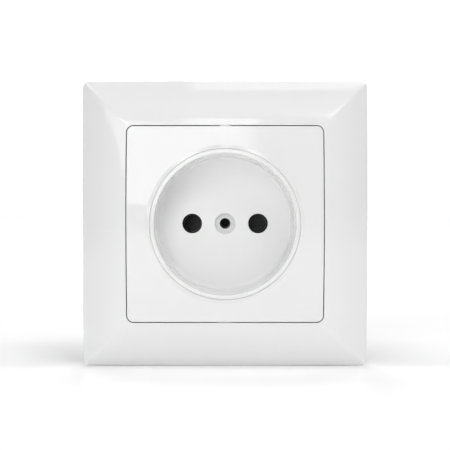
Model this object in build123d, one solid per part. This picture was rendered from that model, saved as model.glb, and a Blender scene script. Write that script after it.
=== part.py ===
from build123d import *
import os
from math import cos, radians, sin, sqrt

# Flush wall socket without earth contacts. Millimetres, Z up, X to the right.
# The wall plane is y = 0: the front looks towards -Y and the mechanism lies behind at +Y.
# The origin is the centre of the cover frame on the wall plane.

# Cover frame, one moulding with convex mitred sides
frame_size = 81.1
frame_bow = 0.25
frame_corner_radius = 1.6
frame_height = 9.8
frame_edge_height = 1.2
frame_edge_radius = 0.5
frame_inner_slope = 12.0
frame_wall = 1.8
frame_lip_wall = 1.6
flange_width = 2.0
flange_thickness = 1.4
frame_rib_wall = 1.0
frame_rib_spacing = 22.0
head_notch_width = 9.0
head_notch_height = 3.2
frame_clearance = 0.25

# Centre cover, one moulding with the plug well
insert_size = 54.8
insert_gap = 0.25
insert_bow = 0.23
insert_corner_radius = 1.8
insert_edge_radius = 0.25
insert_proud = 0.2
insert_thickness = 2.2
skirt_wall = 1.5
cover_rib_wall = 1.2
cover_rib_depth = 3.0

# Plug well and its raised rim
well_mouth_radius = 19.93
well_floor_radius = 19.3
well_depth = 12.0
well_wall = 1.7
well_floor_thickness = 2.0
well_floor_fillet = 1.0
rim_width = 1.1
rim_height = 0.8
rim_edge_radius = 0.25
rim_step = 0.45
rim_slope_width = 1.15
pin_spacing = 19.0
pin_hole_radius = 2.85
centre_hole_radius = 1.55
counterbore_radius = 2.95
counterbore_depth = 1.2

# Support strap, pressed steel
strap_margin = 3.25
strap_thickness = 1.2
strap_corner = 9.0
strap_lug_height = 3.0
strap_lug_width = 6.0
strap_lug_place = 15.0
strap_lug_gap = 0.3
box_screw_spacing = 60.0
box_slot_width = 4.2
box_slot_length = 7.0
rivet_circle_radius = 26.6
rivet_angle = 45.0
rivet_radius = 1.5
rivet_head_radius = 2.6
rivet_head_height = 0.8
rivet_head_chamfer = 0.4
rivet_clearance = 0.05

# Socket base, one dark moulding
base_clearance = 0.37
base_ring_wall = 2.2
base_ring_depth = 8.0
base_wall = 2.5
base_half_height = 21.0
base_rear_room = 2.0
base_web = 1.8
pin_entry_radius = 2.65
pin_entry_flare = 0.2
lug_radius = 3.4
lug_depth = 6.0
claw_channel_clearance = 1.5
claw_channel_wall = 1.9
floor_relief = 0.3

# Contact carrier, dark insulating plate
carrier_radius = 16.0
carrier_half_height = 11.0
carrier_thickness = 5.0
carrier_clearance = 0.15
carrier_screw_offset = 7.0
carrier_screw_radius = 1.25
carrier_screw_head_radius = 2.2
carrier_screw_head_height = 1.6
carrier_screw_length = 9.0
carrier_screw_recess = 0.3

# Contacts, their springs and the terminals
sleeve_bore_radius = 2.45
sleeve_wall = 0.6
contact_length = 10.0
contact_plate = 1.0
contact_plate_radius = 4.2
contact_slot_width = 0.8
contact_slot_start = 3.0
spring_wall = 0.6
spring_width = 3.2
spring_offset = 5.2
spring_gap_width = 2.0
terminal_inner = 13.5
terminal_width = 6.5
terminal_half_height = 8.5
wire_offset = 4.0
wire_radius = 1.7
wire_bore_floor = 1.4
terminal_chamfer = 0.5
chamber_clearance = 0.3
chamber_inner = 5.3
chamber_half_height = 5.0
terminal_screw_radius = 1.5
terminal_screw_length = 7.7
terminal_screw_head_radius = 2.6
terminal_screw_head_height = 2.0
terminal_screw_well_radius = 3.1
screw_slot_width = 0.7
screw_slot_depth = 0.9
screw_head_chamfer = 0.3
screw_tip_chamfer = 0.3
thread_clearance = 0.05

# Cover nut in the middle of the base
nut_radius = 2.75
nut_length = 8.0
nut_bore_radius = 1.25
nut_clearance = 0.02

# Rear cover over the chambers
rear_cover_thickness = 2.0
rear_cover_chamfer = 0.6
wire_flare = 0.8
rear_screw_offset = 15.0
rear_screw_radius = 1.25
rear_screw_head_radius = 2.3
rear_screw_head_height = 1.5
rear_screw_length = 8.0

# Spreading claws at the left and right of the strap, their pins and their screws
claw_pivot_x = 27.2
claw_pivot_y = 5.0
claw_sheet = 1.2
claw_half_height = 4.6
claw_length = 15.5
claw_cheek_length = 7.75
claw_reach = 1.6
claw_eye_radius = 2.2
claw_tooth_rise = 1.0
claw_tooth_pitch = 2.3
claw_teeth = 3
claw_push_offset = 1.6
claw_swing = 20.0
claw_pin_radius = 1.0
claw_pin_clearance = 0.05
claw_pin_fit = 0.02
claw_pin_head_radius = 1.6
claw_pin_head_height = 0.6
claw_pin_head_chamfer = 0.3
ear_gap = 0.3
ear_thickness = 1.2
claw_screw_x = 24.3
claw_screw_radius = 1.5
claw_screw_head_radius = 2.5
claw_screw_head_height = 1.4
claw_screw_head_gap = 0.3
claw_screw_tip_gap = 0.15
claw_screw_tip_radius = 0.5
claw_screw_tip_length = 1.0

# How far a cut reaches past a face, and how near two coordinates count as equal
overshoot = 1.0
near = 1e-6

# Levels along Y that follow from the sizes above
strap_front = -strap_thickness
flange_front = strap_front - flange_thickness
insert_front = -(frame_height + insert_proud)
insert_back = insert_front + insert_thickness
rim_top = insert_front - rim_height
floor_front = rim_top + well_depth
floor_back = floor_front + well_floor_thickness
cavity_back = floor_back + floor_relief
carrier_back = floor_back + carrier_thickness
contact_front = carrier_back + base_web
contact_back = contact_front + contact_length
terminal_front = contact_front + contact_plate
base_depth = contact_back + base_rear_room
rear_cover_front = base_depth
rear_cover_back = rear_cover_front + rear_cover_thickness

# Places across the wall plane that follow from the sizes above
frame_half = frame_size / 2
insert_half = insert_size / 2
opening_half = insert_half + insert_gap
lip_half = opening_half + frame_lip_wall
strap_half = frame_half - frame_wall - strap_margin
base_ring_bore = well_mouth_radius + well_wall + base_clearance
base_ring_radius = base_ring_bore + base_ring_wall
pin_x = pin_spacing / 2
sleeve_radius = sleeve_bore_radius + sleeve_wall
terminal_x = terminal_inner + terminal_width / 2
terminal_outer = terminal_inner + terminal_width
terminal_screw_y = (terminal_front + contact_back) / 2
chamber_tall = terminal_half_height + chamber_clearance
chamber_outer = terminal_outer + chamber_clearance
base_radius = sqrt(chamber_outer ** 2 + chamber_tall ** 2) + base_wall
claw_channel_start = chamber_outer + claw_channel_wall
ear_inner = claw_half_height + ear_gap
ear_outer = ear_inner + ear_thickness
claw_channel_half_height = ear_outer + claw_channel_clearance
claw_push_y = claw_pivot_y + claw_push_offset
claw_outer_x = claw_pivot_x + claw_reach
claw_screw_travel = (claw_pivot_x - claw_screw_x) * sin(radians(claw_swing))
claw_back = claw_pivot_y + claw_length
rivet_x = rivet_circle_radius * cos(radians(rivet_angle))
rivet_z = rivet_circle_radius * sin(radians(rivet_angle))
rivet_places = [(x, z) for x in (-rivet_x, rivet_x) for z in (-rivet_z, rivet_z)]


def slab(outline, front, back):
    """Extrude an outline drawn in X and Z between two levels along Y."""
    return extrude(Plane.XZ.offset(-back) * outline, amount=back - front)


def rod(radius, front, back, x=0.0, z=0.0):
    """Round bar along Y."""
    return slab(Pos(x, z) * Circle(radius), front, back)


def funnel(radius, flare):
    """Cone along +Z that widens by the flare up to its mouth at z = 0."""
    return Cone(radius, radius + flare, flare, align=(Align.CENTER, Align.CENTER, Align.MAX))


def block(x_range, y_range, z_range):
    """Box between two corners given as three ranges."""
    low = Vector(x_range[0], y_range[0], z_range[0])
    size = Vector(x_range[1], y_range[1], z_range[1]) - low
    return Pos(low) * Box(size.X, size.Y, size.Z, align=(Align.MIN, Align.MIN, Align.MIN))


def bowed_square(half_x, half_z, bow_x, bow_z, corner_radius):
    """Square outline whose sides stand out by the bow at their middle."""
    right = ThreePointArc((half_x, -half_z), (half_x + bow_x, 0), (half_x, half_z))
    left = ThreePointArc((-half_x, half_z), (-half_x - bow_x, 0), (-half_x, -half_z))
    if bow_z > 0:
        top = ThreePointArc((half_x, half_z), (0, half_z + bow_z), (-half_x, half_z))
        bottom = ThreePointArc((-half_x, -half_z), (0, -half_z - bow_z), (half_x, -half_z))
    else:
        top = Line((half_x, half_z), (-half_x, half_z))
        bottom = Line((-half_x, -half_z), (half_x, -half_z))
    outline = make_face(right + top + left + bottom)
    return fillet(outline.vertices(), corner_radius)


def crown_arc():
    """Centre and radius of the frame's section arc, from its two ends and its slope at the opening."""
    slope = radians(frame_inner_slope)
    run = frame_half + frame_bow - opening_half
    rise = frame_height - frame_edge_height
    radius = (run ** 2 + rise ** 2) / (2 * (rise * cos(slope) - run * sin(slope)))
    centre = (opening_half - radius * sin(slope), -frame_height + radius * cos(slope))
    return centre, radius


def mitred_form(inset, edge_radius):
    """Frame body inside the visible skin by the inset: two crossed arched bars, so each corner is a mitre."""
    (crown_x, crown_y), crown_radius = crown_arc()
    half = frame_half + frame_bow - inset
    radius = crown_radius - inset
    edge_y = crown_y - sqrt(radius ** 2 - (half - crown_x) ** 2)
    top_x = opening_half - inset
    top_y = crown_y - sqrt(radius ** 2 - (top_x - crown_x) ** 2)
    mid_x = (half + top_x) / 2
    mid_y = crown_y - sqrt(radius ** 2 - (mid_x - crown_x) ** 2)
    side = Line((half, 0), (half, edge_y)) + ThreePointArc((half, edge_y), (mid_x, mid_y), (top_x, top_y))
    top = Line((top_x, top_y), (-top_x, top_y))
    section = make_face(side + top + mirror(side, about=Plane.YZ) + Line((-half, 0), (half, 0)))
    if edge_radius > 0:
        crown_ends = [v for v in section.vertices() if abs(abs(v.X) - half) < near and v.Y < -near]
        section = fillet(crown_ends, edge_radius)
    bar = extrude(section, amount=half, both=True)
    return bar & (Rot(0, 90, 0) * bar)


def head_notches():
    """Room for the heads of the strap's screws, in the frame's lip and flange and in the cover's skirt."""
    inner = opening_half - flange_width - frame_clearance
    outer = lip_half + frame_clearance
    low = strap_front - head_notch_height
    notch = block((inner, outer), (low, 0), (-head_notch_width / 2, head_notch_width / 2))
    notches = [Rot(0, turn, 0) * notch for turn in (0, 90, 180, 270)]
    return notches[0] + notches[1:]


def make_cover_frame():
    """Hollow frame: arched skin, lip round the opening, flange for the cover's skirt, ribs inside."""
    outline = bowed_square(frame_half, frame_half, frame_bow, frame_bow, frame_corner_radius)
    body = mitred_form(0, frame_edge_radius) & slab(outline, -frame_height, 0)
    hollow = mitred_form(frame_wall, 0) - slab(Rectangle(2 * lip_half, 2 * lip_half), -frame_height, 0)
    rib_front = strap_front - frame_clearance
    long_rib = block((-frame_half, frame_half), (-frame_height, rib_front), (0, frame_rib_wall))
    for offset in (-frame_rib_spacing, 0, frame_rib_spacing):
        rib = Pos(0, 0, offset - frame_rib_wall / 2) * long_rib
        hollow -= rib
        hollow -= Rot(0, 90, 0) * rib
    opening = bowed_square(opening_half, opening_half, insert_bow, 0, insert_corner_radius + insert_gap)
    flange_hole = Rectangle(2 * (opening_half - flange_width), 2 * (opening_half - flange_width))
    body -= hollow
    body -= slab(opening, -frame_height, flange_front)
    body -= slab(flange_hole, flange_front, 0)
    strap_room = Rectangle(2 * (lip_half + frame_clearance), 2 * (lip_half + frame_clearance))
    body -= slab(strap_room, strap_front, 0)
    return body - head_notches()


def make_centre_cover():
    """Plate with a raised rim, a drafted well, pin holes, a counterbored centre hole, skirt and ribs."""
    outline = bowed_square(insert_half, insert_half, insert_bow, 0, insert_corner_radius)
    inner_half = insert_half - skirt_wall
    inside = bowed_square(inner_half, inner_half, insert_bow, 0, insert_corner_radius / 2)
    plate = slab(outline, insert_front, flange_front)
    front_edges = plate.edges().filter_by(lambda e: abs(e.center().Y - insert_front) < near)
    plate = fillet(front_edges, insert_edge_radius)
    plate -= slab(inside, insert_back, flange_front)
    rib = block((-inner_half, inner_half), (insert_back, insert_back + cover_rib_depth), (0, cover_rib_wall))
    for offset in (-inner_half / 2, inner_half / 2):
        placed = Pos(0, 0, offset - cover_rib_wall / 2) * rib
        plate += placed
        plate += Rot(0, 90, 0) * placed
    rim_outer = well_mouth_radius + rim_width
    slope_outer = rim_outer + rim_slope_width
    cup_floor_radius = well_floor_radius + well_wall
    slope_top = rim_top + rim_step
    cup_line = Polyline(
        (0, floor_back), (cup_floor_radius, floor_back), (well_mouth_radius + well_wall, insert_back),
        (slope_outer, insert_back), (slope_outer, insert_front), (rim_outer, slope_top),
        (rim_outer, rim_top), (0, rim_top), (0, floor_back),
    )
    cup_face = make_face(cup_line)
    rim_corner = [v for v in cup_face.vertices() if abs(v.X - rim_outer) < near and abs(v.Y - rim_top) < near]
    cup = revolve(fillet(rim_corner, rim_edge_radius), Axis.Y)
    well_line = Polyline(
        (0, floor_front), (well_floor_radius, floor_front), (well_mouth_radius, rim_top),
        (well_mouth_radius, rim_top - overshoot), (0, rim_top - overshoot), (0, floor_front),
    )
    well_face = make_face(well_line)
    floor_corner = [v for v in well_face.vertices() if abs(v.X - well_floor_radius) < near]
    well = revolve(fillet(floor_corner, well_floor_fillet), Axis.Y)
    cover = plate + cup - well
    mouth = [
        e for e in cover.edges().filter_by(GeomType.CIRCLE)
        if abs(e.center().Y - rim_top) < near and abs(e.radius - well_mouth_radius) < near
    ]
    cover = fillet(mouth, rim_edge_radius)
    for side in (-1, 1):
        cover -= rod(pin_hole_radius, floor_front - overshoot, floor_back + overshoot, side * pin_x)
    cover -= rod(centre_hole_radius, floor_front - overshoot, floor_back + overshoot)
    cover -= rod(counterbore_radius, floor_front - overshoot, floor_front + counterbore_depth)
    return cover - head_notches()


def upright(outline, low, high):
    """Extrude an outline drawn in X and Y between two heights."""
    return Pos(0, 0, low) * extrude(outline, amount=high - low)


def mirrored_pair(shape):
    """A shape and its mirror image about the middle plane from top to bottom."""
    return shape + mirror(shape, about=Plane.XY)


def claw_ears():
    """Two ears bent back from the strap, with the holes for the claw's pin."""
    eye = Pos(claw_pivot_x, claw_pivot_y) * Circle(claw_eye_radius)
    leg = Pos(claw_pivot_x, claw_pivot_y / 2) * Rectangle(2 * claw_eye_radius, claw_pivot_y)
    hole = Pos(claw_pivot_x, claw_pivot_y) * Circle(claw_pin_radius + claw_pin_fit)
    return mirrored_pair(upright(eye + leg - hole, ear_inner, ear_outer))


def frame_lug():
    """Lug bent forward from the strap, beside the frame's lip, which it keeps central."""
    inner = lip_half + strap_lug_gap
    low = strap_lug_place - strap_lug_width / 2
    return block((inner, inner + strap_thickness), (strap_front - strap_lug_height, strap_front),
                 (low, low + strap_lug_width))


def make_support_strap():
    """Square plate with cut corners, a round window, slots, rivet holes, claw ears and tapped holes."""
    sheet = chamfer(Rectangle(2 * strap_half, 2 * strap_half).vertices(), strap_corner)
    sheet -= Circle(base_ring_bore)
    for side in (-1, 1):
        slot = Rot(0, 0, 90) * SlotOverall(box_slot_length, box_slot_width)
        sheet -= Pos(0, side * box_screw_spacing / 2) * slot
    for x, z in rivet_places:
        sheet -= Pos(x, z) * Circle(rivet_radius + rivet_clearance)
    for side in (-1, 1):
        sheet -= Pos(side * claw_screw_x, 0) * Circle(claw_screw_radius)
    bent = claw_ears() + mirrored_pair(frame_lug())
    return slab(sheet, strap_front, 0) + bent + mirror(bent, about=Plane.YZ)


def base_outline():
    """Outline of the base: a disc with a flat top and bottom."""
    return Circle(base_radius) & Rectangle(3 * base_radius, 2 * base_half_height)


def chamber(side):
    """Room in the base for one contact, its spring and its terminal, open to the back."""
    depth = (contact_front, base_depth)
    for_sleeve = (chamber_inner, terminal_inner)
    for_block = (terminal_inner - chamber_clearance, chamber_outer)
    room = block(for_sleeve, depth, (-chamber_half_height, chamber_half_height))
    room += block(for_block, depth, (-chamber_tall, chamber_tall))
    return room if side > 0 else mirror(room, about=Plane.YZ)


def make_socket_base():
    """Ring round the well, lugs for the rivets, body with two chambers, screw wells and claw channels."""
    base = rod(base_ring_radius, 0, base_ring_depth) + slab(base_outline(), cavity_back, base_depth)
    for x, z in rivet_places:
        base += rod(lug_radius, 0, lug_depth, x, z)
    base -= rod(base_ring_bore, 0, cavity_back)
    base -= slab(carrier_outline(carrier_clearance), cavity_back, carrier_back)
    for x, z in rivet_places:
        base -= rod(rivet_radius + rivet_clearance, 0, lug_depth, x, z)
        base -= rod(lug_radius + rivet_clearance, lug_depth, base_depth, x, z)
    channel_height = (-claw_channel_half_height, claw_channel_half_height)
    for side in (-1, 1):
        base -= chamber(side)
        base -= rod(pin_entry_radius, carrier_back, contact_front, side * pin_x)
        flare = Rot(90, 0, 0) * funnel(pin_entry_radius, pin_entry_flare)
        base -= Pos(side * pin_x, carrier_back, 0) * flare
        well = Cylinder(terminal_screw_well_radius, base_half_height,
                        align=(Align.CENTER, Align.CENTER, Align.MIN))
        base -= Pos(side * terminal_x, terminal_screw_y, terminal_half_height) * well
        base -= Pos(side * terminal_x, terminal_screw_y, -terminal_half_height - base_half_height) * well
        behind = block((claw_channel_start, base_radius), (0, base_depth), channel_height)
        beside = block((base_ring_bore - claw_channel_clearance, base_radius), (0, cavity_back),
                       channel_height)
        channel = behind + beside
        base -= channel if side > 0 else mirror(channel, about=Plane.YZ)
        base -= rod(carrier_screw_radius, carrier_back, carrier_back + carrier_screw_length, 0,
                    side * carrier_screw_offset)
        base -= rod(rear_screw_radius, base_depth - rear_screw_length, base_depth, 0,
                    side * rear_screw_offset)
    base -= rod(nut_radius + nut_clearance, carrier_back, carrier_back + nut_length)
    return base


def carrier_outline(margin):
    """Disc with a flat top and bottom."""
    return Circle(carrier_radius + margin) & Rectangle(3 * carrier_radius, 2 * (carrier_half_height + margin))


def make_contact_carrier():
    """Insulating plate with the pin holes, the centre hole and two sunk screw holes."""
    plate = slab(carrier_outline(0), floor_back, carrier_back)
    for side in (-1, 1):
        plate -= rod(pin_hole_radius, floor_back, carrier_back, side * pin_x)
        head_room = carrier_screw_head_radius + carrier_clearance
        head_back = floor_back + carrier_screw_recess + carrier_screw_head_height
        plate -= rod(head_room, floor_back, head_back, 0, side * carrier_screw_offset)
        plate -= rod(carrier_screw_radius + thread_clearance, floor_back, carrier_back, 0,
                     side * carrier_screw_offset)
    return plate - rod(centre_hole_radius, floor_back, carrier_back)


def slotted_screw(radius, length, head_radius, head_height):
    """Screw along +Z: the underside of the head at z = 0, the shank below it, a straight slot on top."""
    shank = Cylinder(radius, length, align=(Align.CENTER, Align.CENTER, Align.MAX))
    shank = chamfer(shank.faces().sort_by(Axis.Z)[0].edges(), screw_tip_chamfer)
    head = Cylinder(head_radius, head_height, align=(Align.CENTER, Align.CENTER, Align.MIN))
    head = chamfer(head.faces().sort_by(Axis.Z)[-1].edges(), screw_head_chamfer)
    slot = Pos(0, 0, head_height - screw_slot_depth) * Box(
        3 * head_radius, screw_slot_width, head_height, align=(Align.CENTER, Align.CENTER, Align.MIN))
    return shank + head - slot


def make_carrier_screws():
    """Two screws from the front through the carrier into the base."""
    screw = slotted_screw(carrier_screw_radius - thread_clearance, carrier_screw_length,
                          carrier_screw_head_radius, carrier_screw_head_height)
    seat = floor_back + carrier_screw_recess + carrier_screw_head_height
    facing_front = Rot(90, 0, 0) * screw
    return [Pos(0, seat, side * carrier_screw_offset) * facing_front for side in (-1, 1)]


def make_contact(side):
    """Bronze sleeve, slotted from the back into four springy tines, with a plate out to the terminal."""
    sleeve = rod(sleeve_radius, contact_front, contact_back, pin_x)
    plate_shape = Pos(pin_x, 0) * Circle(contact_plate_radius)
    reach = terminal_outer - pin_x
    plate_shape += Pos(pin_x + reach / 2, 0) * Rectangle(reach, 2 * contact_plate_radius)
    contact = sleeve + slab(plate_shape, contact_front, terminal_front)
    contact -= rod(sleeve_bore_radius, contact_front, contact_back, pin_x)
    across = Rectangle(4 * sleeve_radius, contact_slot_width)
    slots = across + Rot(0, 0, 90) * across
    ring = Circle(sleeve_radius + spring_wall)
    contact -= slab(Pos(pin_x, 0) * (slots & ring), contact_front + contact_slot_start, contact_back)
    return contact if side > 0 else mirror(contact, about=Plane.YZ)


def make_contact_spring(side):
    """Open steel ring round the tines."""
    ring = Circle(sleeve_radius + spring_wall) - Circle(sleeve_radius)
    ring -= Pos(-sleeve_radius, 0) * Rectangle(2 * spring_wall + sleeve_wall, spring_gap_width)
    front = contact_front + spring_offset
    spring = slab(Pos(pin_x, 0) * ring, front, front + spring_width)
    return spring if side > 0 else mirror(spring, about=Plane.YZ)


def make_terminal(side):
    """Brass block with two blind wire holes from the back and two tapped holes for the screws."""
    body = block((terminal_inner, terminal_outer), (terminal_front, contact_back),
                 (-terminal_half_height, terminal_half_height))
    body = chamfer(body.edges().filter_by(Axis.Y), terminal_chamfer)
    for end in (-1, 1):
        body -= rod(wire_radius, terminal_front + wire_bore_floor, contact_back, terminal_x,
                    end * wire_offset)
        tapped = Pos(terminal_x, terminal_screw_y, end * (wire_offset + terminal_half_height) / 2)
        body -= tapped * Cylinder(terminal_screw_radius, terminal_half_height - wire_offset)
    return body if side > 0 else mirror(body, about=Plane.YZ)


def make_terminal_screws(side):
    """Two clamping screws, one from above and one from below, backed off clear of the wires."""
    screw = slotted_screw(terminal_screw_radius - thread_clearance, terminal_screw_length,
                          terminal_screw_head_radius, terminal_screw_head_height)
    tip = wire_offset + wire_radius + thread_clearance
    seat = tip + terminal_screw_length
    upper = Pos(side * terminal_x, terminal_screw_y, seat) * screw
    return [upper, mirror(upper, about=Plane.XY)]


def make_cover_nut():
    """Threaded bush for the cover's centre screw."""
    bush = rod(nut_radius, carrier_back, carrier_back + nut_length)
    return bush - rod(nut_bore_radius, carrier_back, carrier_back + nut_length)


def make_rear_cover():
    """Plate over the chambers with pads that hold the terminals, wire holes and screw holes."""
    cover = slab(base_outline(), rear_cover_front, rear_cover_back)
    cover = chamfer(cover.faces().sort_by(Axis.Y)[-1].edges(), rear_cover_chamfer)
    pad_half = terminal_half_height - chamber_clearance
    for side in (-1, 1):
        pad = Pos(side * terminal_x, 0) * Rectangle(terminal_width - chamber_clearance, 2 * pad_half)
        cover += slab(pad, contact_back, rear_cover_front)
        for end in (-1, 1):
            cover -= rod(wire_radius, contact_back, rear_cover_back, side * terminal_x, end * wire_offset)
            flare = Rot(-90, 0, 0) * funnel(wire_radius, wire_flare)
            cover -= Pos(side * terminal_x, rear_cover_back, end * wire_offset) * flare
        cover -= rod(rear_screw_radius + thread_clearance, rear_cover_front, rear_cover_back, 0,
                     side * rear_screw_offset)
        channel = block((claw_channel_start, base_radius), (rear_cover_front, rear_cover_back),
                        (-claw_channel_half_height, claw_channel_half_height))
        cover -= channel if side > 0 else mirror(channel, about=Plane.YZ)
    for x, z in rivet_places:
        cover -= rod(lug_radius + rivet_clearance, rear_cover_front, rear_cover_back, x, z)
    return cover


def make_rear_screws():
    """Two screws that hold the rear cover on the base."""
    screw = slotted_screw(rear_screw_radius - thread_clearance, rear_screw_length,
                          rear_screw_head_radius, rear_screw_head_height)
    facing_back = Rot(-90, 0, 0) * screw
    return [Pos(0, rear_cover_back, side * rear_screw_offset) * facing_back for side in (-1, 1)]


def make_strap_rivets():
    """Four rivets through the strap and the base's lugs, headed on both sides."""
    rivets = []
    for x, z in rivet_places:
        rivet = rod(rivet_radius, strap_front, lug_depth, x, z)
        front_head = rod(rivet_head_radius, strap_front - rivet_head_height, strap_front, x, z)
        back_head = rod(rivet_head_radius, lug_depth, lug_depth + rivet_head_height, x, z)
        front_head = chamfer(front_head.faces().sort_by(Axis.Y)[0].edges(), rivet_head_chamfer)
        back_head = chamfer(back_head.faces().sort_by(Axis.Y)[-1].edges(), rivet_head_chamfer)
        rivets.append(rivet + front_head + back_head)
    return rivets


def make_claw(side):
    """Folded claw: two cheeks round the pin, a toothed back, and a plate for the screw's tip."""
    inner_x = claw_screw_x - claw_screw_radius
    push_back = claw_push_y + claw_sheet
    back_inner = claw_outer_x - claw_sheet
    cheek_end = claw_pivot_y + claw_cheek_length
    cheek = make_face(Polyline(
        (inner_x, claw_push_y), (inner_x, push_back), (claw_pivot_x - claw_sheet, push_back + claw_sheet),
        (back_inner, cheek_end), (claw_outer_x, cheek_end), (claw_outer_x, claw_pivot_y),
        (claw_pivot_x, claw_pivot_y), (claw_pivot_x, claw_push_y), (inner_x, claw_push_y),
    ))
    cheek += Pos(claw_pivot_x, claw_pivot_y) * Circle(claw_eye_radius)
    cheek -= Pos(claw_pivot_x, claw_pivot_y) * Circle(claw_pin_radius + claw_pin_clearance)
    claw = mirrored_pair(upright(cheek, claw_half_height - claw_sheet, claw_half_height))
    push_plate = block((inner_x, claw_pivot_x - claw_sheet), (claw_push_y, push_back),
                       (-claw_half_height, claw_half_height))
    back_plate = block((back_inner, claw_outer_x), (claw_push_y + claw_sheet, claw_back),
                       (-claw_half_height, claw_half_height))
    claw += push_plate + back_plate
    for step in range(claw_teeth):
        root = claw_back - (step + 1) * claw_tooth_pitch
        tooth = make_face(Polyline(
            (back_inner, root), (claw_outer_x, root),
            (claw_outer_x + claw_tooth_rise, root + claw_tooth_pitch),
            (back_inner, root + claw_tooth_pitch), (back_inner, root),
        ))
        claw += upright(tooth, -claw_half_height, claw_half_height)
    return claw if side > 0 else mirror(claw, about=Plane.YZ)


def make_claw_pin(side):
    """Pin through the ears and the claw's cheeks, headed on both ends."""
    pin = Cylinder(claw_pin_radius, 2 * ear_outer)
    head = Cylinder(claw_pin_head_radius, claw_pin_head_height, align=(Align.CENTER, Align.CENTER, Align.MIN))
    head = chamfer(head.faces().sort_by(Axis.Z)[-1].edges(), claw_pin_head_chamfer)
    pin += mirrored_pair(Pos(0, 0, ear_outer) * head)
    return Pos(side * claw_pivot_x, claw_pivot_y) * pin


def make_claw_screw(side):
    """Screw through the strap's tapped hole, drawn out by its travel, with a pointed tip at the claw."""
    seat = strap_front - claw_screw_travel - claw_screw_head_gap
    tip = claw_push_y - claw_screw_tip_gap
    shank_length = tip - seat - claw_screw_tip_length
    shank_radius = claw_screw_radius - thread_clearance
    screw = slotted_screw(shank_radius, shank_length, claw_screw_head_radius, claw_screw_head_height)
    cone = Cone(claw_screw_tip_radius, shank_radius, claw_screw_tip_length,
                align=(Align.CENTER, Align.CENTER, Align.MAX))
    screw += Pos(0, 0, -shank_length) * cone
    return Pos(side * claw_screw_x, seat, 0) * (Rot(90, 0, 0) * screw)


def save(node, shape):
    """Write one node as a STEP file; a list of equal pieces becomes one group of separate solids."""
    if isinstance(shape, list):
        shape = Compound(children=[piece.solid() for piece in shape])
    export_step(shape, f"parts/{node}.step")


os.makedirs("parts", exist_ok=True)
save("cover_frame", make_cover_frame())
save("centre_cover", make_centre_cover())
save("support_strap", make_support_strap())
save("strap_rivets", make_strap_rivets())
save("socket_base", make_socket_base())
save("contact_carrier", make_contact_carrier())
save("carrier_screws", make_carrier_screws())
save("cover_nut", make_cover_nut())
save("rear_cover", make_rear_cover())
save("rear_screws", make_rear_screws())
for name, side in (("left", -1), ("right", 1)):
    save(f"contact_{name}", make_contact(side))
    save(f"contact_spring_{name}", make_contact_spring(side))
    save(f"terminal_{name}", make_terminal(side))
    save(f"terminal_screws_{name}", make_terminal_screws(side))
    save(f"claw_{name}", make_claw(side))
    save(f"claw_pin_{name}", make_claw_pin(side))
    save(f"claw_screw_{name}", make_claw_screw(side))
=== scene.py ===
import bmesh
import bpy
import numpy as np
from math import cos, pi, radians, sin, sqrt, tan
from mathutils import Matrix, Vector
from mathutils.geometry import delaunay_2d_cdt


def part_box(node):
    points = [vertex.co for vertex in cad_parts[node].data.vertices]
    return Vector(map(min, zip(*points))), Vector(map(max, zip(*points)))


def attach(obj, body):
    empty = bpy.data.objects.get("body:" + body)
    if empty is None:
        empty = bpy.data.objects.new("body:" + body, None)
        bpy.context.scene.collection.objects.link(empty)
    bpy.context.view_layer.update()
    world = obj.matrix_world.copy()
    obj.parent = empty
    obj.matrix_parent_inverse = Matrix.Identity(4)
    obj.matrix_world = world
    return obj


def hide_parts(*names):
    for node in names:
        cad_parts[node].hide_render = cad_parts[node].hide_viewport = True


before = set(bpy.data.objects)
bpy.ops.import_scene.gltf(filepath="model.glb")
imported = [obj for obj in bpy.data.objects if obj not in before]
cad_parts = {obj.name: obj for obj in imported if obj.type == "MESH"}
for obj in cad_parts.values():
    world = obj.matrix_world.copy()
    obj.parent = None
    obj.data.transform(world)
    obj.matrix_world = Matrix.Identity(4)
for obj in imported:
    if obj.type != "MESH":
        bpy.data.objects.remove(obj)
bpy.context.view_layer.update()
mm = 0.001
print("frame loaded")


# Grid and profile tools

supportGap = 0.07 * mm  # from the end of a rounding to the point that keeps the straight run beside it flat
flatRun = 4 * supportGap  # flat ring between a rounding and the plane that it meets
weldDistance = 0.002 * mm
shortestEdge = 0.0005 * mm
fillTolerance = 1e-9
sharpAngle = radians(38.0)


def gridFaces(rows, columns, closedRows, closedColumns):
    # quads between neighbouring rows and columns of a grid, as indices
    i = np.arange(rows if closedRows else rows - 1)
    j = np.arange(columns if closedColumns else columns - 1)
    i, j = np.meshgrid(i, j, indexing="ij")
    row, rowAfter, jAfter = i * columns, (i + 1) % rows * columns, (j + 1) % columns
    quads = np.stack([row + j, rowAfter + j, rowAfter + jAfter, row + jAfter], -1)
    return quads.reshape(-1, 4).tolist()


def gridPatch(points, closedRows=False, closedColumns=True):
    # a grid of points as a patch: its points in one list, and its faces
    rows, columns = points.shape[:2]
    return points.reshape(-1, 3), gridFaces(rows, columns, closedRows, closedColumns)


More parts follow.
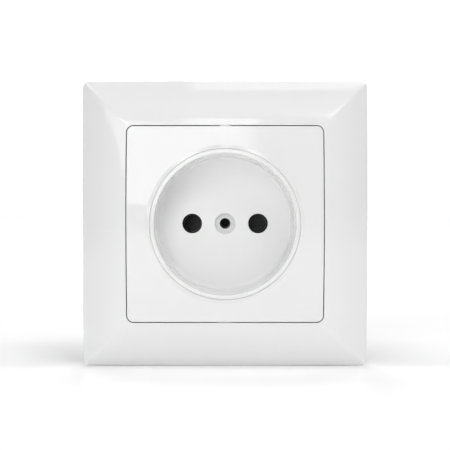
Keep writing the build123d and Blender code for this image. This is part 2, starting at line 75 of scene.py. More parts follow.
def roundedProfile(corners, steps=5):
    # a polyline of (across, depth, radius) corners; each radius becomes an arc tangent to both neighbours,
    # with one more point close to each of its ends that keeps the straight runs flat
    given = np.array(corners, float)
    path = given[:, :2]
    line = [path[0]]
    for before, here, after, radius in zip(path[:-2], path[1:-1], path[2:], given[1:-1, 2]):
        if radius == 0:
            line.append(here)
            continue
        back, ahead = before - here, after - here
        backRoom, aheadRoom = np.linalg.norm(back), np.linalg.norm(ahead)
        back, ahead = back / backRoom, ahead / aheadRoom
        half = np.arccos(np.clip(back @ ahead, -1, 1)) / 2
        setback = radius / tan(half)
        middle = (back + ahead) / np.linalg.norm(back + ahead)
        centre = here + middle * radius / sin(half)
        turn = np.linspace(-1, 1, steps + 1)[:, None] * (np.pi / 2 - half)
        sideways = (ahead - back) / np.linalg.norm(ahead - back)
        arc = centre - middle * radius * np.cos(turn) + sideways * radius * np.sin(turn)
        if backRoom > setback + 3 * supportGap:
            line.append(here + back * (setback + supportGap))
        line.extend(arc)
        if aheadRoom > setback + 3 * supportGap:
            line.append(here + ahead * (setback + supportGap))
    line.append(path[-1])
    return np.array(line)


def squareTemplate(sideSteps=48, arcSteps=16):
    # anchor and arc directions of a rounded square: point = (half - corner) * anchor + corner * arc
    along = np.linspace(-1, 1, sideSteps, endpoint=False)
    turn = np.linspace(0, np.pi / 2, arcSteps, endpoint=False)
    anchor = np.concatenate([np.stack([np.ones(sideSteps), along], 1), np.ones((arcSteps, 2))])
    arc = np.concatenate([np.tile([1.0, 0.0], (sideSteps, 1)), np.stack([np.cos(turn), np.sin(turn)], 1)])
    quarter = np.array([[0.0, 1.0], [-1.0, 0.0]])
    anchors, arcs = [anchor], [arc]
    for _ in range(3):
        anchors.append(anchors[-1] @ quarter)
        arcs.append(arcs[-1] @ quarter)
    return np.concatenate(anchors), np.concatenate(arcs)


squareAnchor, squareArc = squareTemplate()


def squareRings(half, corner, bowAcross, bowUp):
    # rounded squares, one for each entry; a side stands out by a parabola, bow * (1 - (place / half) ** 2)
    half, corner, bowAcross, bowUp = [
        np.atleast_1d(value).astype(float)[:, None] for value in (half, corner, bowAcross, bowUp)]
    across = (half - corner) * squareAnchor[:, 0] + corner * squareArc[:, 0]
    up = (half - corner) * squareAnchor[:, 1] + corner * squareArc[:, 1]
    bowedAcross = across * (1 + bowAcross / half * (1 - (up / half) ** 2))
    bowedUp = up * (1 + bowUp / half * (1 - (across / half) ** 2))
    return bowedAcross, bowedUp


def circleRings(radius, depth, turn, centre=(0.0, 0.0)):
    # circles about a line along Y, one for each pair of radius and depth: centre + radius * (cos, sin) of
    # the angles in turn
    radius, depth = np.asarray(radius)[:, None], np.asarray(depth)[:, None]
    x = centre[0] + radius * np.cos(turn)
    z = centre[1] + radius * np.sin(turn)
    return np.stack([x, np.broadcast_to(depth, x.shape), z], -1)


def flatFill(loops, depth):
    # triangles that fill the plane y = depth between an outer loop of (x, z) points and the round holes in
    # it; one whose centre is nearer to a hole's middle than the hole's own points are is left out
    points = np.concatenate(loops)
    starts = np.cumsum([0] + [len(loop) for loop in loops])
    edges = [(a + k, a + (k + 1) % (b - a)) for a, b in zip(starts[:-1], starts[1:]) for k in range(b - a)]
    wholeHull = 0
    flat, _, triangles, _, _, _ = delaunay_2d_cdt(
        [Vector(p) for p in points], edges, [], wholeHull, fillTolerance)
    flat = np.array([tuple(p) for p in flat])
    centres = np.array([flat[list(t)].mean(0) for t in triangles])
    inHole = np.zeros(len(triangles), bool)
    for loop in loops[1:]:
        middle = loop.mean(0)
        inHole |= np.hypot(*(centres - middle).T) < np.hypot(*(loop - middle).T).min()
    vertices = np.stack([flat[:, 0], np.full(len(flat), depth), flat[:, 1]], 1)
    return vertices, [list(t) for t, hole in zip(triangles, inHole) if not hole]


def makePiece(name, patches):
    # joins patches of points and faces into one closed mesh with its faces outwards
    vertices, faces, start = [], [], 0
    for patchVertices, patchFaces in patches:
        vertices.append(patchVertices)
        faces.extend([[start + k for k in face] for face in patchFaces])
        start += len(patchVertices)
    mesh = bpy.data.meshes.new(name)
    mesh.from_pydata(np.concatenate(vertices).tolist(), [], faces)
    piece = bpy.data.objects.new(name, mesh)
    bpy.context.scene.collection.objects.link(piece)
    work = bmesh.new()
    work.from_mesh(mesh)
    bmesh.ops.remove_doubles(work, verts=work.verts, dist=weldDistance)
    bmesh.ops.dissolve_degenerate(work, edges=work.edges, dist=shortestEdge)
    bmesh.ops.recalc_face_normals(work, faces=work.faces)
    work.to_mesh(mesh)
    work.free()
    smoothPiece(piece)
    return piece


def smoothPiece(piece):
    piece.data.shade_smooth()
    piece.data.set_sharp_from_angle(angle=sharpAngle)


def combine(piece, other, how):
    # joins or cuts a piece with another one, which is then deleted
    change = piece.modifiers.new(how, "BOOLEAN")
    change.object, change.operation, change.solver = other, how, "EXACT"
    depsgraph = bpy.context.evaluated_depsgraph_get()
    changed = bpy.data.meshes.new_from_object(piece.evaluated_get(depsgraph))
    piece.modifiers.clear()
    old, piece.data = piece.data, changed
    changed.name = piece.name
    bpy.data.meshes.remove(old)
    bpy.data.meshes.remove(other.data)
    smoothPiece(piece)


def boxPatch(low, high):
    # a box; the three bits of a corner's number choose low or high along x, y and z
    corners = np.array([[(low, high)[b >> k & 1][k] for k in range(3)] for b in range(8)])
    return corners, [[0, 2, 3, 1], [4, 5, 7, 6], [0, 1, 5, 4], [2, 6, 7, 3], [0, 4, 6, 2], [1, 3, 7, 5]]


def quarterTurn(vertices, turns):
    # turns points about the line along Y by quarter turns
    x, y, z = np.asarray(vertices).T
    for _ in range(turns):
        x, z = -z, x
    return np.stack([x, y, z], 1)


notchShape = {
    "near": 25.4 * mm, "far": 29.5 * mm, "front": -4.4 * mm, "back": 0.5 * mm, "halfWidth": 4.5 * mm,
}


def headNotches(name, shape):
    # four cutters that leave room for the heads of the strap's screws
    low = (shape["near"], shape["front"], -shape["halfWidth"])
    high = (shape["far"], shape["back"], shape["halfWidth"])
    vertices, faces = boxPatch(low, high)
    return makePiece(name, [(quarterTurn(vertices, turns), faces) for turns in range(4)])


# Cover frame

sideBow = 0.25 * mm  # each outer side stands out by this on its middle, and there it reaches the CAD's size

frameShape = {
    "outerHalf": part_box("cover_frame")[1].x - sideBow, "outerBow": sideBow, "outerCorner": 1.6 * mm,
    "openingHalf": 27.65 * mm, "openingBow": 0.23 * mm, "openingCorner": 2.05 * mm,
    "height": 9.8 * mm, "edgeHeight": 1.2 * mm, "edgeRound": 0.5 * mm, "openingRound": 0.2 * mm,
    "innerSlope": 12.0, "crownPower": 1.5, "wall": 1.8 * mm, "lipWall": 1.6 * mm, "flangeWidth": 2.0 * mm,
    "flangeFront": -2.6 * mm, "strapFront": -1.2 * mm, "smallRound": 0.12 * mm, "hollowRound": 0.4 * mm,
    "creaseRound": 0.22 * mm, "crownSteps": 44, "hollowSteps": 12,
    "ribWall": 1.0 * mm, "ribSpacing": 22.0 * mm, "ribFront": -1.45 * mm, "ribSink": 0.15 * mm,
    "ribSteps": 40,
}


def makeCrown(shape):
    # depth across the section, from the opening's edge to the outer edge. With t from 0 to 1 between them
    # slope = first + (last - first) * (1 - (1 - t)^power), and depth is its integral, which fits the rise
    inner = shape["openingHalf"]
    run = shape["outerHalf"] + shape["outerBow"] - inner
    rise = shape["height"] - shape["edgeHeight"]
    first = tan(radians(shape["innerSlope"]))
    power = shape["crownPower"]
    last = first + (rise / run - first) * (power + 1) / power

    def crown(across, inset=0.0):
        t = (across - inner) / run
        rest = np.clip(1 - t, 0, None)
        slope = first + (last - first) * (1 - rest ** power)
        fall = first * t + (last - first) * (t - (1 - rest ** (power + 1)) / (power + 1))
        return run * fall - shape["height"] + inset * np.sqrt(1 + slope ** 2)
    return crown


def makeCoverFrame(shape):
    # one closed section carried round rounded squares; depth = section depth, lowered where the
    # smooth maximum of |x| and |z| is further out than on the middle of a side, which rounds the mitres
    crown = makeCrown(shape)
    inner, outer = shape["openingHalf"], shape["outerHalf"] + shape["outerBow"]
    innerWall, lip = outer - shape["wall"], inner + shape["lipWall"]
    flange = inner - shape["flangeWidth"]
    small = shape["smallRound"]
    across = np.linspace(inner, outer, shape["crownSteps"] + 1)
    under = np.linspace(innerWall, lip, shape["hollowSteps"] + 1)
    front = [(a, crown(a), 0.0) for a in across]
    front[0] = (inner, crown(inner), shape["openingRound"])
    front[-1] = (outer, crown(outer), shape["edgeRound"])
    inside = [(a, crown(a, shape["wall"]), 0.0) for a in under]
    inside[0] = inside[0][:2] + (shape["hollowRound"],)
    inside[-1] = inside[-1][:2] + (shape["hollowRound"],)
    openingMiddle = (inner, (shape["flangeFront"] - shape["height"]) / 2, 0.0)
    corners = [openingMiddle] + front + [(outer, 0.0, small), (innerWall, 0.0, small)] + inside + [
        (lip, shape["strapFront"], small), (flange, shape["strapFront"], small),
        (flange, shape["flangeFront"], small), (inner, shape["flangeFront"], small), openingMiddle,
    ]
    section = roundedProfile(corners)[:-1]
    part = (section[:, 0] - inner) / (outer - inner)
    half = inner + part * (shape["outerHalf"] - inner)
    corner = shape["openingCorner"] + part * (shape["outerCorner"] - shape["openingCorner"])
    corner = np.maximum(corner, small)
    bowAcross = shape["openingBow"] + part * (shape["outerBow"] - shape["openingBow"])
    x, z = squareRings(half, corner, bowAcross, part * shape["outerBow"])
    difference = (np.abs(x) - np.abs(z)) / 2
    reach = (np.abs(x) + np.abs(z)) / 2 + np.sqrt(difference ** 2 + shape["creaseRound"] ** 2)
    nominal = (half + part * shape["outerBow"])[:, None]
    atOuter = np.clip(-section[:, 1] / shape["edgeHeight"], 0, 1)
    openingDepth = shape["height"] + shape["flangeFront"]
    atOpening = np.clip((shape["flangeFront"] - section[:, 1]) / openingDepth, 0, 1)
    follow = np.where(section[:, 0] > lip + shape["hollowRound"], atOuter, atOpening)[:, None]
    y = section[:, 1:2] + follow * (crown(reach) - crown(nominal))
    piece = makePiece("coverFrame", [gridPatch(np.stack([x, y, z], -1), closedRows=True)])
    combine(piece, makeFrameRibs(shape, crown, lip, innerWall), "UNION")
    combine(piece, headNotches("frameNotches", notchShape), "DIFFERENCE")
    return piece


def makeFrameRibs(shape, crown, lip, innerWall):
    # plates across the hollow: the section of the hollow, from the strap's level to the crown's underside
    sink, half = shape["ribSink"], shape["ribWall"] / 2
    across = np.linspace(lip - sink, innerWall, shape["ribSteps"])
    depth = crown(across, shape["wall"] - sink)
    inside = depth < shape["ribFront"] - sink
    top = np.stack([across, depth], 1)[inside]
    loop = np.concatenate([top, [(top[-1, 0], shape["ribFront"]), (top[0, 0], shape["ribFront"])]])
    count = len(loop)
    patches = []
    for place in (-shape["ribSpacing"], 0.0, shape["ribSpacing"]):
        lower = np.column_stack([loop, np.full(count, place - half)])
        upper = np.column_stack([loop, np.full(count, place + half)])
        faces = gridFaces(2, count, False, True) + [list(range(count)), list(range(count, 2 * count))]
        patches += [(quarterTurn(np.concatenate([lower, upper]), turns), faces) for turns in range(4)]
    return makePiece("frameRibs", patches)


# Centre cover with the plug well

coverShape = {
    "half": 27.4 * mm, "bow": 0.23 * mm, "corner": 1.8 * mm, "cornerShrink": 0.6, "edgeRound": 0.25 * mm,
    "front": -10.0 * mm, "back": -7.8 * mm, "backMargin": 1.0 * mm, "smallRound": 0.12 * mm,
    "skirtEnd": -2.6 * mm, "skirtWall": 1.5 * mm, "plateSteps": 12,
    "mouthRadius": 19.93 * mm, "floorRadius": 19.3 * mm, "wellWall": 1.7 * mm, "wellSteps": 12,
    "floorFront": 1.2 * mm, "floorBack": 3.2 * mm, "floorRound": 1.4 * mm,
    "rimTop": -10.8 * mm, "rimWidth": 1.1 * mm, "rimRound": 0.25 * mm, "rimStep": 0.45 * mm,
    "slopeWidth": 1.15 * mm, "slopeRound": 0.06 * mm, "grooveWidth": 0.15 * mm, "grooveFloor": -10.08 * mm,
    "pinPlace": 9.5 * mm, "pinRadius": 2.85 * mm, "pinRound": 0.04 * mm, "holeSteps": 96,
    "holeRadius": 1.55 * mm, "boreRadius": 2.95 * mm, "boreDepth": 1.2 * mm, "boreRound": 0.1 * mm,
    "ribWall": 1.2 * mm, "ribDepth": 3.0 * mm, "ribSink": 0.1 * mm, "ribReach": 0.4 * mm,
}


def makeWell(shape, turn):
    # well, mouth, rim and the groove at its foot: a section turned about the axis, from floor to plate.
    # The flat floor begins three roundings inside the wall
    mouth, rimTop, plateFront = shape["mouthRadius"], shape["rimTop"], shape["front"]
    floorRadius, floorFront, floorRound = shape["floorRadius"], shape["floorFront"], shape["floorRound"]
    rimOuter = mouth + shape["rimWidth"]
    grooveOuter, grooveFloor = rimOuter + shape["grooveWidth"], shape["grooveFloor"]
    slopeOuter, slopeRound = rimOuter + shape["slopeWidth"], shape["slopeRound"]
    section = roundedProfile([
        (floorRadius - 3 * floorRound, floorFront, 0), (floorRadius, floorFront, floorRound),
        (mouth, rimTop, shape["rimRound"]), (rimOuter, rimTop, shape["rimRound"]),
        (rimOuter, grooveFloor, slopeRound), (grooveOuter, grooveFloor, slopeRound),
        (grooveOuter, rimTop + shape["rimStep"], slopeRound), (slopeOuter, plateFront, slopeRound),
        (slopeOuter + flatRun, plateFront, 0),
    ], shape["wellSteps"])
    return circleRings(section[:, 0], section[:, 1], turn)


def makePlateEdge(shape):
    # rounded edge, skirt and the plate's back: a section of insets from the square outline, carried round it
    small, skirtWall = shape["smallRound"], shape["skirtWall"]
    section = roundedProfile([
        (flatRun, shape["front"], 0), (0, shape["front"], shape["edgeRound"]),
        (0, shape["skirtEnd"], small), (skirtWall, shape["skirtEnd"], small),
        (skirtWall, shape["back"], 2 * small), (skirtWall + shape["backMargin"], shape["back"], 0),
    ])
    inset = section[:, 0]
    corner = np.maximum(shape["corner"] - inset * shape["cornerShrink"], 2 * small)
    x, z = squareRings(shape["half"] - inset, corner, shape["bow"], 0.0)
    return np.stack([x, np.broadcast_to(section[:, 1:2], x.shape), z], -1)


def makeHoles(shape):
    # two pin holes and the counterbored centre hole: each a section turned about its own axis
    front, back, seat = shape["floorFront"], shape["floorBack"], shape["floorFront"] + shape["boreDepth"]
    pin, hole = shape["pinRadius"], shape["holeRadius"]
    bore, boreRound = shape["boreRadius"], shape["boreRound"]
    pinLine = roundedProfile([(pin + flatRun, front, 0), (pin, front, shape["pinRound"]), (pin, back, 0)])
    boreLine = roundedProfile([
        (bore + flatRun, front, 0), (bore, front, boreRound), (bore, seat, boreRound),
        (hole, seat, boreRound), (hole, back, 0),
    ])
    turn = np.linspace(0, 2 * np.pi, shape["holeSteps"], endpoint=False)
    holes = ((pinLine, -shape["pinPlace"]), (boreLine, 0.0), (pinLine, shape["pinPlace"]))
    return [circleRings(line[:, 0], line[:, 1], turn, (place, 0.0)) for line, place in holes]


def makeCentreCover(shape):
    outlineX, outlineZ = squareRings(shape["half"], shape["corner"], shape["bow"], 0.0)
    turn = np.arctan2(outlineZ[0], outlineX[0])
    well, edge, walls = makeWell(shape, turn), makePlateEdge(shape), makeHoles(shape)
    cupRadii = np.array([shape["mouthRadius"], shape["floorRadius"]]) + shape["wellWall"]
    cup = circleRings(cupRadii, [shape["back"], shape["floorBack"]], turn)

    # each side of the plate runs straight from a circle to the square outline: first + (last - first) * t
    blend = np.linspace(0, 1, shape["plateSteps"])[:, None, None]
    plate = well[-1] * (1 - blend) + edge[0] * blend
    plateBack = edge[-1] * (1 - blend) + cup[0] * blend

    # the well's floor is flat between its edge and the holes, in front and at the back
    frontLoops = [ring[:, [0, 2]] for ring in (well[0], *[wall[0] for wall in walls])]
    backLoops = [ring[:, [0, 2]] for ring in (cup[-1], *[wall[-1] for wall in walls])]
    patches = [gridPatch(points) for points in (well, plate, edge, plateBack, cup, *walls)]
    patches += [flatFill(frontLoops, shape["floorFront"]), flatFill(backLoops, shape["floorBack"])]
    piece = makePiece("centreCover", patches)
    combine(piece, makeCoverRibs(shape), "UNION")
    combine(piece, headNotches("coverNotches", notchShape), "DIFFERENCE")
    return piece


def makeCoverRibs(shape):
    # two ribs each way behind the plate, from the skirt to the cup
    innerHalf = shape["half"] - shape["skirtWall"]
    place, halfWall, sink = innerHalf / 2, shape["ribWall"] / 2, shape["ribSink"]
    cupOuter = shape["mouthRadius"] + shape["wellWall"]
    start = sqrt(cupOuter ** 2 - place ** 2) - shape["ribReach"]
    patches = []
    for middle in (place, -place):
        low = (start, shape["back"] - sink, middle - halfWall)
        high = (innerHalf + sink, shape["back"] + shape["ribDepth"], middle + halfWall)
        vertices, faces = boxPatch(low, high)
        patches += [(quarterTurn(vertices, turns), faces) for turns in range(4)]
    return makePiece("coverRibs", patches)


# Shader tools

def newGroup(name, inputs, outputs):
    # inputs gives each label its default: one number for a value, three for a vector, four for a colour
    kinds = {1: "NodeSocketFloat", 3: "NodeSocketVector", 4: "NodeSocketColor"}
    group = bpy.data.node_groups.new(name, "ShaderNodeTree")
    for label, value in inputs.items():
        socket = group.interface.new_socket(label, in_out="INPUT", socket_type=kinds[np.size(value)])
        socket.default_value = value
    for label, kind in outputs.items():
        group.interface.new_socket(label, in_out="OUTPUT", socket_type=kind)
    return group, group.nodes.new("NodeGroupInput"), group.nodes.new("NodeGroupOutput")


def addNode(tree, kind, links=None, **settings):
    # a node with its settings; links maps an input's name or number to an output or a value
    node = tree.nodes.new(kind)
    for key, value in settings.items():
        setattr(node, key, value)
    for key, value in (links or {}).items():
        if isinstance(value, bpy.types.NodeSocket):
            tree.links.new(value, node.inputs[key])
        else:
            node.inputs[key].default_value = value
    return node


def calculate(tree, operation, *values):
    # the result of a Math node
    return addNode(tree, "ShaderNodeMath", dict(enumerate(values)), operation=operation).outputs[0]


def calculateVector(tree, operation, *values, output="Vector"):
    # the same for vectors; a length comes out of the output Value
    node = addNode(tree, "ShaderNodeVectorMath", dict(enumerate(values)), operation=operation)
    return node.outputs[output]


def ramp(tree, value, start, end, low=0.0, high=1.0, smooth=False):
    # goes from low to high while value goes from start to end, and stays the same beyond them
    return addNode(tree, "ShaderNodeMapRange", {
        "Value": value, "From Min": start, "From Max": end, "To Min": low, "To Max": high,
    }, interpolation_type="SMOOTHSTEP" if smooth else "LINEAR").outputs[0]


def noise(tree, place, scale, detail):
    links = {"Vector": place, "Scale": scale, "Detail": detail}
    return addNode(tree, "ShaderNodeTexNoise", links).outputs["Fac"]


# Finishes

surfaceInputs = {
    "Tone": (0.8, 0.8, 0.8, 1), "Second Tone": (0.7, 0.7, 0.7, 1), "Tone Scale": 60.0,
    "Roughness": 0.2, "Roughness Spread": 0.05, "Wave Scale": 40.0, "Wave Height": 0.0,
    "Grain Scale": 4000.0, "Grain Height": 0.0, "Stretch": (1, 1, 1),
    "Recess Roughness": 0.0, "Recess Depth": 0.0, "Painted Bore Shade": 1.0, "Bore Depth": 0.0,
}
surfaceOutputs = {"Colour": "NodeSocketColor", "Roughness": "NodeSocketFloat", "Normal": "NodeSocketVector"}
surfacePattern = {
    "toneLow": 0.35, "toneHigh": 0.65, "toneDetail": 4.0, "waveDetail": 1.0, "grainDetail": 2.0,
    "recessRun": 3 * mm, "boreRun": 0.3 * mm,
}


def makeSurfaceGroup(pattern):
    # slow waviness, fine grain, drifting tone and painted shade behind the bore depth, which every finish
    # here takes with its own values
    group, given, result = newGroup("surfaceFinish", surfaceInputs, surfaceOutputs)
    wanted = given.outputs
    place = addNode(group, "ShaderNodeTexCoord").outputs["Object"]
    depth = addNode(group, "ShaderNodeSeparateXYZ", {0: place}).outputs["Y"]
    stretched = calculateVector(group, "MULTIPLY", place, wanted["Stretch"])

    # the tone drifts between the two given ones, and behind the bore depth it is scaled darker: painted
    # shade in bores and holes
    tone = noise(group, stretched, wanted["Tone Scale"], pattern["toneDetail"])
    share = ramp(group, tone, pattern["toneLow"], pattern["toneHigh"])
    colour = addNode(group, "ShaderNodeMix", {
        0: share, 6: wanted["Tone"], 7: wanted["Second Tone"]}, data_type="RGBA").outputs[2]
    inBore = calculate(group, "SUBTRACT", depth, wanted["Bore Depth"])
    shade = ramp(group, inBore, 0.0, pattern["boreRun"], 1.0, wanted["Painted Bore Shade"])
    links = {0: colour, "Scale": shade}
    shaded = addNode(group, "ShaderNodeVectorMath", links, operation="SCALE").outputs[0]

    # the gloss drifts with the tone, and turns to satin behind the recess depth
    centred = calculate(group, "SUBTRACT", tone, (pattern["toneLow"] + pattern["toneHigh"]) / 2)
    rough = calculate(group, "MULTIPLY_ADD", centred, wanted["Roughness Spread"], wanted["Roughness"])
    inRecess = calculate(group, "SUBTRACT", depth, wanted["Recess Depth"])
    satin = ramp(group, inRecess, 0.0, pattern["recessRun"])
    rough = calculate(group, "MULTIPLY_ADD", satin, wanted["Recess Roughness"], rough)

    # the grain lies on the waves
    wave = noise(group, place, wanted["Wave Scale"], pattern["waveDetail"])
    grain = noise(group, stretched, wanted["Grain Scale"], pattern["grainDetail"])
    waved = addNode(group, "ShaderNodeBump", {"Height": wave, "Distance": wanted["Wave Height"]}).outputs[0]
    grained = addNode(group, "ShaderNodeBump", {
        "Height": grain, "Distance": wanted["Grain Height"], "Normal": waved}).outputs[0]
    for label, output in (("Colour", shaded), ("Roughness", rough), ("Normal", grained)):
        group.links.new(output, result.inputs[label])
    return group


surfaceGroup = makeSurfaceGroup(surfacePattern)

# metallic and ior go to the shader, the other values to the surface group
metal = {
    "metallic": 1.0, "ior": 1.5, "Tone Scale": 300.0, "Roughness": 0.3, "Roughness Spread": 0.3,
    "Wave Scale": 200.0, "Wave Height": 0.003 * mm, "Grain Scale": 3000.0, "Grain Height": 0.003 * mm}
copperAlloy = {**metal, "Tone Scale": 260.0, "Wave Height": 0.004 * mm, "Grain Scale": 2500.0}
moulding = {"metallic": 0.0, "Roughness Spread": 0.2, "Wave Height": 0.01 * mm, "Grain Scale": 5000.0}
whiteGloss = {
    "metallic": 0.0, "ior": 1.55, "Tone": (0.855, 0.855, 0.855, 1), "Second Tone": (0.848, 0.848, 0.848, 1),
    "Tone Scale": 25.0, "Roughness": 0.03, "Roughness Spread": 0.01, "Wave Scale": 45.0,
    "Wave Height": 0.004 * mm, "Grain Scale": 900.0, "Grain Height": 0.0}

finishes = {
    "whiteGloss": whiteGloss,
    # the centre cover's colour is darkened behind 1.4 mm: painted shade in the bore seat, the holes and the
    # back of the cup
    "coverGloss": {
        **whiteGloss, "Recess Roughness": 0.3, "Recess Depth": -5 * mm, "Painted Bore Shade": 0.86,
        "Bore Depth": 1.4 * mm},
    "darkMoulding": {
        **moulding, "ior": 1.4, "Tone": (0.012, 0.014, 0.016, 1), "Second Tone": (0.018, 0.020, 0.022, 1),
        "Tone Scale": 120.0, "Roughness": 0.42, "Wave Scale": 150.0, "Grain Height": 0.01 * mm},
    "greyMoulding": {
        **moulding, "ior": 1.5, "Tone": (0.30, 0.30, 0.31, 1), "Second Tone": (0.34, 0.34, 0.35, 1),
        "Tone Scale": 90.0, "Roughness": 0.4, "Wave Scale": 120.0, "Grain Height": 0.008 * mm},
    "zincSteel": {
        **metal, "Tone": (0.62, 0.63, 0.64, 1), "Second Tone": (0.50, 0.52, 0.55, 1), "Tone Scale": 180.0,
        "Roughness": 0.34, "Roughness Spread": 0.35, "Wave Scale": 90.0, "Wave Height": 0.008 * mm,
        "Grain Scale": 1500.0, "Grain Height": 0.004 * mm, "Stretch": (0.25, 1, 1)},
    "brassTerminal": {
        **copperAlloy, "Tone": (0.78, 0.60, 0.30, 1), "Second Tone": (0.66, 0.47, 0.22, 1),
        "Roughness": 0.28, "Stretch": (1, 0.2, 1)},
    # the bronze contacts are coloured near black: painted shade that keeps the pin holes dark
    "contactPaintedShade": {
        **copperAlloy, "Tone": (0.10, 0.10, 0.10, 1), "Second Tone": (0.07, 0.07, 0.07, 1)},
    "springSteel": {**metal, "Tone": (0.45, 0.46, 0.48, 1), "Second Tone": (0.33, 0.33, 0.35, 1)},
    "screwSteel": {
        **metal, "Tone": (0.66, 0.66, 0.67, 1), "Second Tone": (0.52, 0.53, 0.56, 1), "Tone Scale": 400.0,
        "Roughness": 0.26, "Wave Scale": 300.0},
    "blackSteel": {
        **metal, "Tone": (0.13, 0.135, 0.14, 1), "Second Tone": (0.09, 0.095, 0.10, 1), "Roughness": 0.35},
}


def makeMaterial(name, finish):
    # a shader that takes its colour, roughness and normal from the surface group, with the finish's values
    material = bpy.data.materials.new(name)
    material.use_nodes = True
    tree = material.node_tree
    shader = tree.nodes["Principled BSDF"]
    surface = addNode(tree, "ShaderNodeGroup", node_tree=surfaceGroup)
    for key, value in finish.items():
        if key in surface.inputs:
            surface.inputs[key].default_value = value
    shader.inputs["Metallic"].default_value = finish["metallic"]
    shader.inputs["IOR"].default_value = finish["ior"]
    for output, label in (("Colour", "Base Color"), ("Roughness", "Roughness"), ("Normal", "Normal")):
        tree.links.new(surface.outputs[output], shader.inputs[label])
    return material


materials = {name: makeMaterial(name, finish) for name, finish in finishes.items()}
slotFinishes = {
    "white_gloss": "whiteGloss", "dark_moulding": "darkMoulding", "grey_moulding": "greyMoulding",
    "zinc_steel": "zincSteel", "brass_terminal": "brassTerminal", "bronze_contact": "contactPaintedShade",
    "spring_steel": "springSteel", "screw_steel": "screwSteel", "black_steel": "blackSteel",
}


def finishNode(node):
    # gives a CAD node the finish of the slot that its own material is named after
    for slot in node.material_slots:
        label = slot.material.name
        matching = [finish for name, finish in slotFinishes.items() if label.startswith(name)]
        slot.link = "DATA"
        slot.material = materials[matching[0]]


print("building the cover frame")
coverFrame = makeCoverFrame(frameShape)
print("building the centre cover")
centreCover = makeCentreCover(coverShape)
covers = ((coverFrame, "cover_frame", "whiteGloss"), (centreCover, "centre_cover", "coverGloss"))
for piece, node, finish in covers:
    piece.data.materials.append(materials[finish])
    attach(piece, "root")
    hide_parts(node)
    print(piece.name, len(piece.data.polygons), "faces")
print("finishing the mechanism")
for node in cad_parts.values():
    finishNode(node)


# Floor, camera and light

# the floor's near glow is painted light, and where it is dimmed, round the object's foot and to the left,
# painted shadow
studio = {
    "floorSize": 8.0, "floorGap": 0.01 * mm, "floorTone": (0.96, 0.96, 0.96, 1), "floorRoughness": 0.3,
    "floorSheen": 0.02, "footCentre": (0.0, 10 * mm, 0.0), "footHalf": (41 * mm, 20 * mm, 1.0),
    "paintedFloorGlow": 0.15, "glowReach": 45 * mm, "frontStart": 12 * mm, "frontEnd": -10 * mm,
    "leftStart": -0.13, "leftEnd": -0.16, "farGlow": 0.95, "farStart": 0.1, "farEnd": 0.9,
    "cameraPlace": (0.0, -0.350, 0.0061), "cameraAim": (0.0, 0.0, 0.0), "lens": 97.36, "sensor": 36.0,
    "shiftAcross": -0.0002, "shiftUp": -0.0032, "clipStart": 0.01, "clipEnd": 50.0,
    "worldStrength": 0.04, "backgroundStrength": 1.05,
}


def makeFloorMaterial(settings):
    # a pale table that glows, which is painted light: the larger of two ramps, one outwards from the foot,
    # which is a box round the object, and one from the object's middle to its face, times a ramp that ends
    # the glow at the left. Where the glow is dim, round the foot and to the left, the floor carries painted
    # shadow. Far behind it is bright, and far away on every side it is bright to the camera alone
    material = bpy.data.materials.new("floorWhitePaintedGlow")
    material.use_nodes = True
    tree = material.node_tree
    shader = tree.nodes["Principled BSDF"]
    shader.inputs["Base Color"].default_value = settings["floorTone"]
    shader.inputs["Roughness"].default_value = settings["floorRoughness"]
    shader.inputs["Specular IOR Level"].default_value = settings["floorSheen"]
    shader.inputs["Emission Strength"].default_value = 1.0
    place = addNode(tree, "ShaderNodeTexCoord").outputs["Object"]
    parts = addNode(tree, "ShaderNodeSeparateXYZ", {0: place}).outputs
    centred = calculateVector(tree, "SUBTRACT", place, settings["footCentre"])
    folded = calculateVector(tree, "ABSOLUTE", centred)
    beyond = calculateVector(tree, "SUBTRACT", folded, settings["footHalf"])
    outside = calculateVector(tree, "MAXIMUM", beyond, (0.0, 0.0, 0.0))
    away = calculateVector(tree, "LENGTH", outside, output="Value")
    around = ramp(tree, away, 0.0, settings["glowReach"], high=settings["paintedFloorGlow"])
    ahead = ramp(tree, parts["Y"], settings["frontStart"], settings["frontEnd"], high=settings["paintedFloorGlow"])
    left = ramp(tree, parts["X"], settings["leftEnd"], settings["leftStart"])
    near = calculate(tree, "MULTIPLY", calculate(tree, "MAXIMUM", around, ahead), left)
    start, end, farGlow = settings["farStart"], settings["farEnd"], settings["farGlow"]
    behind = ramp(tree, parts["Y"], start, end, near, farGlow, smooth=True)
    far = ramp(tree, away, start, end, 0.0, farGlow, smooth=True)
    seen = addNode(tree, "ShaderNodeLightPath").outputs["Is Camera Ray"]
    glow = calculate(tree, "MAXIMUM", behind, calculate(tree, "MULTIPLY", far, seen))
    tree.links.new(glow, shader.inputs["Emission Color"])
    return material


def makeFloor(settings, level):
    # a large square just under the object
    half = settings["floorSize"] / 2
    corners = [(-half, -half, level), (half, -half, level), (half, half, level), (-half, half, level)]
    mesh = bpy.data.meshes.new("floor")
    mesh.from_pydata(corners, [], [(0, 1, 2, 3)])
    mesh.materials.append(makeFloorMaterial(settings))
    floor = bpy.data.objects.new("floor", mesh)
    bpy.context.scene.collection.objects.link(floor)


def makeCamera(settings):
    data = bpy.data.cameras.new("camera")
    camera = bpy.data.objects.new("camera", data)
    bpy.context.scene.collection.objects.link(camera)
    data.lens, data.sensor_width = settings["lens"], settings["sensor"]
    data.shift_x, data.shift_y = settings["shiftAcross"], settings["shiftUp"]
    data.clip_start, data.clip_end = settings["clipStart"], settings["clipEnd"]
    camera.location = settings["cameraPlace"]
    aim = Vector(settings["cameraAim"]) - camera.location
    camera.rotation_euler = aim.to_track_quat("-Z", "Y").to_euler()
    bpy.context.scene.camera = camera


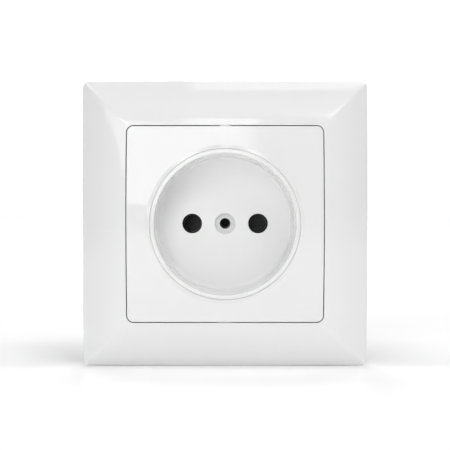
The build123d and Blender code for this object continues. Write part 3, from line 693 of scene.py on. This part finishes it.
def makeWorld(settings):
    # an even dim room, with a white background that only the camera sees
    world = bpy.data.worlds.new("studio")
    world.use_nodes = True
    tree = world.node_tree
    seen = addNode(tree, "ShaderNodeLightPath").outputs["Is Camera Ray"]
    strength = ramp(tree, seen, 0.0, 1.0, settings["worldStrength"], settings["backgroundStrength"])
    tree.nodes["Background"].inputs["Color"].default_value = (1, 1, 1, 1)
    tree.links.new(strength, tree.nodes["Background"].inputs["Strength"])
    bpy.context.scene.world = world


# Soft cards: azimuth 0 is in front, 90 to the right, 180 behind; elevation above the floor, in degrees.
# fade = share of the card over which its light rises from its left, right, lower and upper edges,
# roll turns it about its own axis, and shift moves it along its width and height
plainCard = {"distance": 1.2, "roll": 0.0, "shift": (0.0, 0.0), "fade": (0.3, 0.3, 0.3, 0.3)}
cards = {
    "keyLeft": {"azimuth": -15.0, "elevation": 10.6, "distance": 1.5, "size": (0.95, 0.56),
                "brightness": 2.5, "fade": (0.02, 0.06, 0.01, 0.3)},
    "sideLeft": {"azimuth": -53.0, "elevation": 8.2, "distance": 1.5, "size": (1.15, 0.24), "roll": -5.4,
                 "brightness": 1.7, "fade": (0.1, 0.02, 0.03, 0.5)},
    "fillLeft": {"azimuth": -18.0, "elevation": 30.0, "size": (0.6, 0.5), "brightness": 4.5},
    "highLeft": {"azimuth": -80.0, "elevation": 62.0, "size": (0.6, 0.9), "brightness": 2.4},
    "keyRight": {"azimuth": 30.0, "elevation": 46.0, "size": (0.7, 0.6), "brightness": 4.6},
    "sideRight": {"azimuth": 60.0, "elevation": 40.0, "size": (0.6, 0.6), "brightness": 1.6},
    "highRight": {"azimuth": 90.0, "elevation": 60.0, "size": (0.6, 0.9), "brightness": 2.4},
    "back": {"azimuth": -172.0, "elevation": 38.0, "size": (1.8, 0.6), "brightness": 3.3,
             "fade": (0.2, 0.2, 0.3, 0.3)},
    "backHigh": {"azimuth": 180.0, "elevation": 66.0, "size": (0.9, 0.5), "brightness": 5.6},
    "frontHigh": {"azimuth": 0.0, "elevation": 62.0, "size": (1.5, 0.7), "brightness": 0.5},
    "arch": {"azimuth": -0.25, "elevation": 36.0, "size": (0.105, 0.44), "brightness": 2.6,
             "fade": (0.1, 0.1, 0.02, 0.12)},
    "overhead": {"azimuth": 0.0, "elevation": 90.0, "distance": 1.0, "size": (0.64, 0.17),
                 "shift": (0.281, 0.035), "brightness": 1.5, "fade": (0.01, 0.5, 0.04, 0.3)},
}


def makeCard(name, card):
    # a lamp that faces the origin; its light is the product of a ramp for each edge
    data = bpy.data.lights.new(name, "AREA")
    data.shape = "RECTANGLE"
    data.size, data.size_y = card["size"]
    data.energy = card["brightness"] * pi * card["size"][0] * card["size"][1]
    data.use_nodes = True
    tree = data.node_tree
    place = addNode(tree, "ShaderNodeNewGeometry").outputs["Parametric"]
    parts = addNode(tree, "ShaderNodeSeparateXYZ", {0: place}).outputs
    fade = None
    for axis, side, share in zip((0, 0, 1, 1), (0, 1, 0, 1), card["fade"]):
        rise = ramp(tree, parts[axis], float(side), side + (1 - 2 * side) * share, smooth=True)
        fade = rise if fade is None else calculate(tree, "MULTIPLY", fade, rise)
    tree.links.new(fade, tree.nodes["Emission"].inputs["Strength"])
    lamp = bpy.data.objects.new(name, data)
    bpy.context.scene.collection.objects.link(lamp)
    a, e = radians(card["azimuth"]), radians(card["elevation"])
    toward = Vector((sin(a) * cos(e), -cos(a) * cos(e), sin(e)))
    across = Vector((cos(a), sin(a), 0.0))
    turn = Matrix((across, toward.cross(across), toward)).transposed()
    lamp.location = toward * card["distance"] + turn @ Vector((*card["shift"], 0.0))
    lamp.rotation_euler = (turn @ Matrix.Rotation(radians(card["roll"]), 3, "Z")).to_euler()
    lamp.visible_camera = False


print("setting up the studio")
makeFloor(studio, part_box("cover_frame")[0].z - studio["floorGap"])
makeCamera(studio)
for name, card in cards.items():
    makeCard(name, {**plainCard, **card})
makeWorld(studio)
bpy.context.scene.view_settings.view_transform = "Standard"
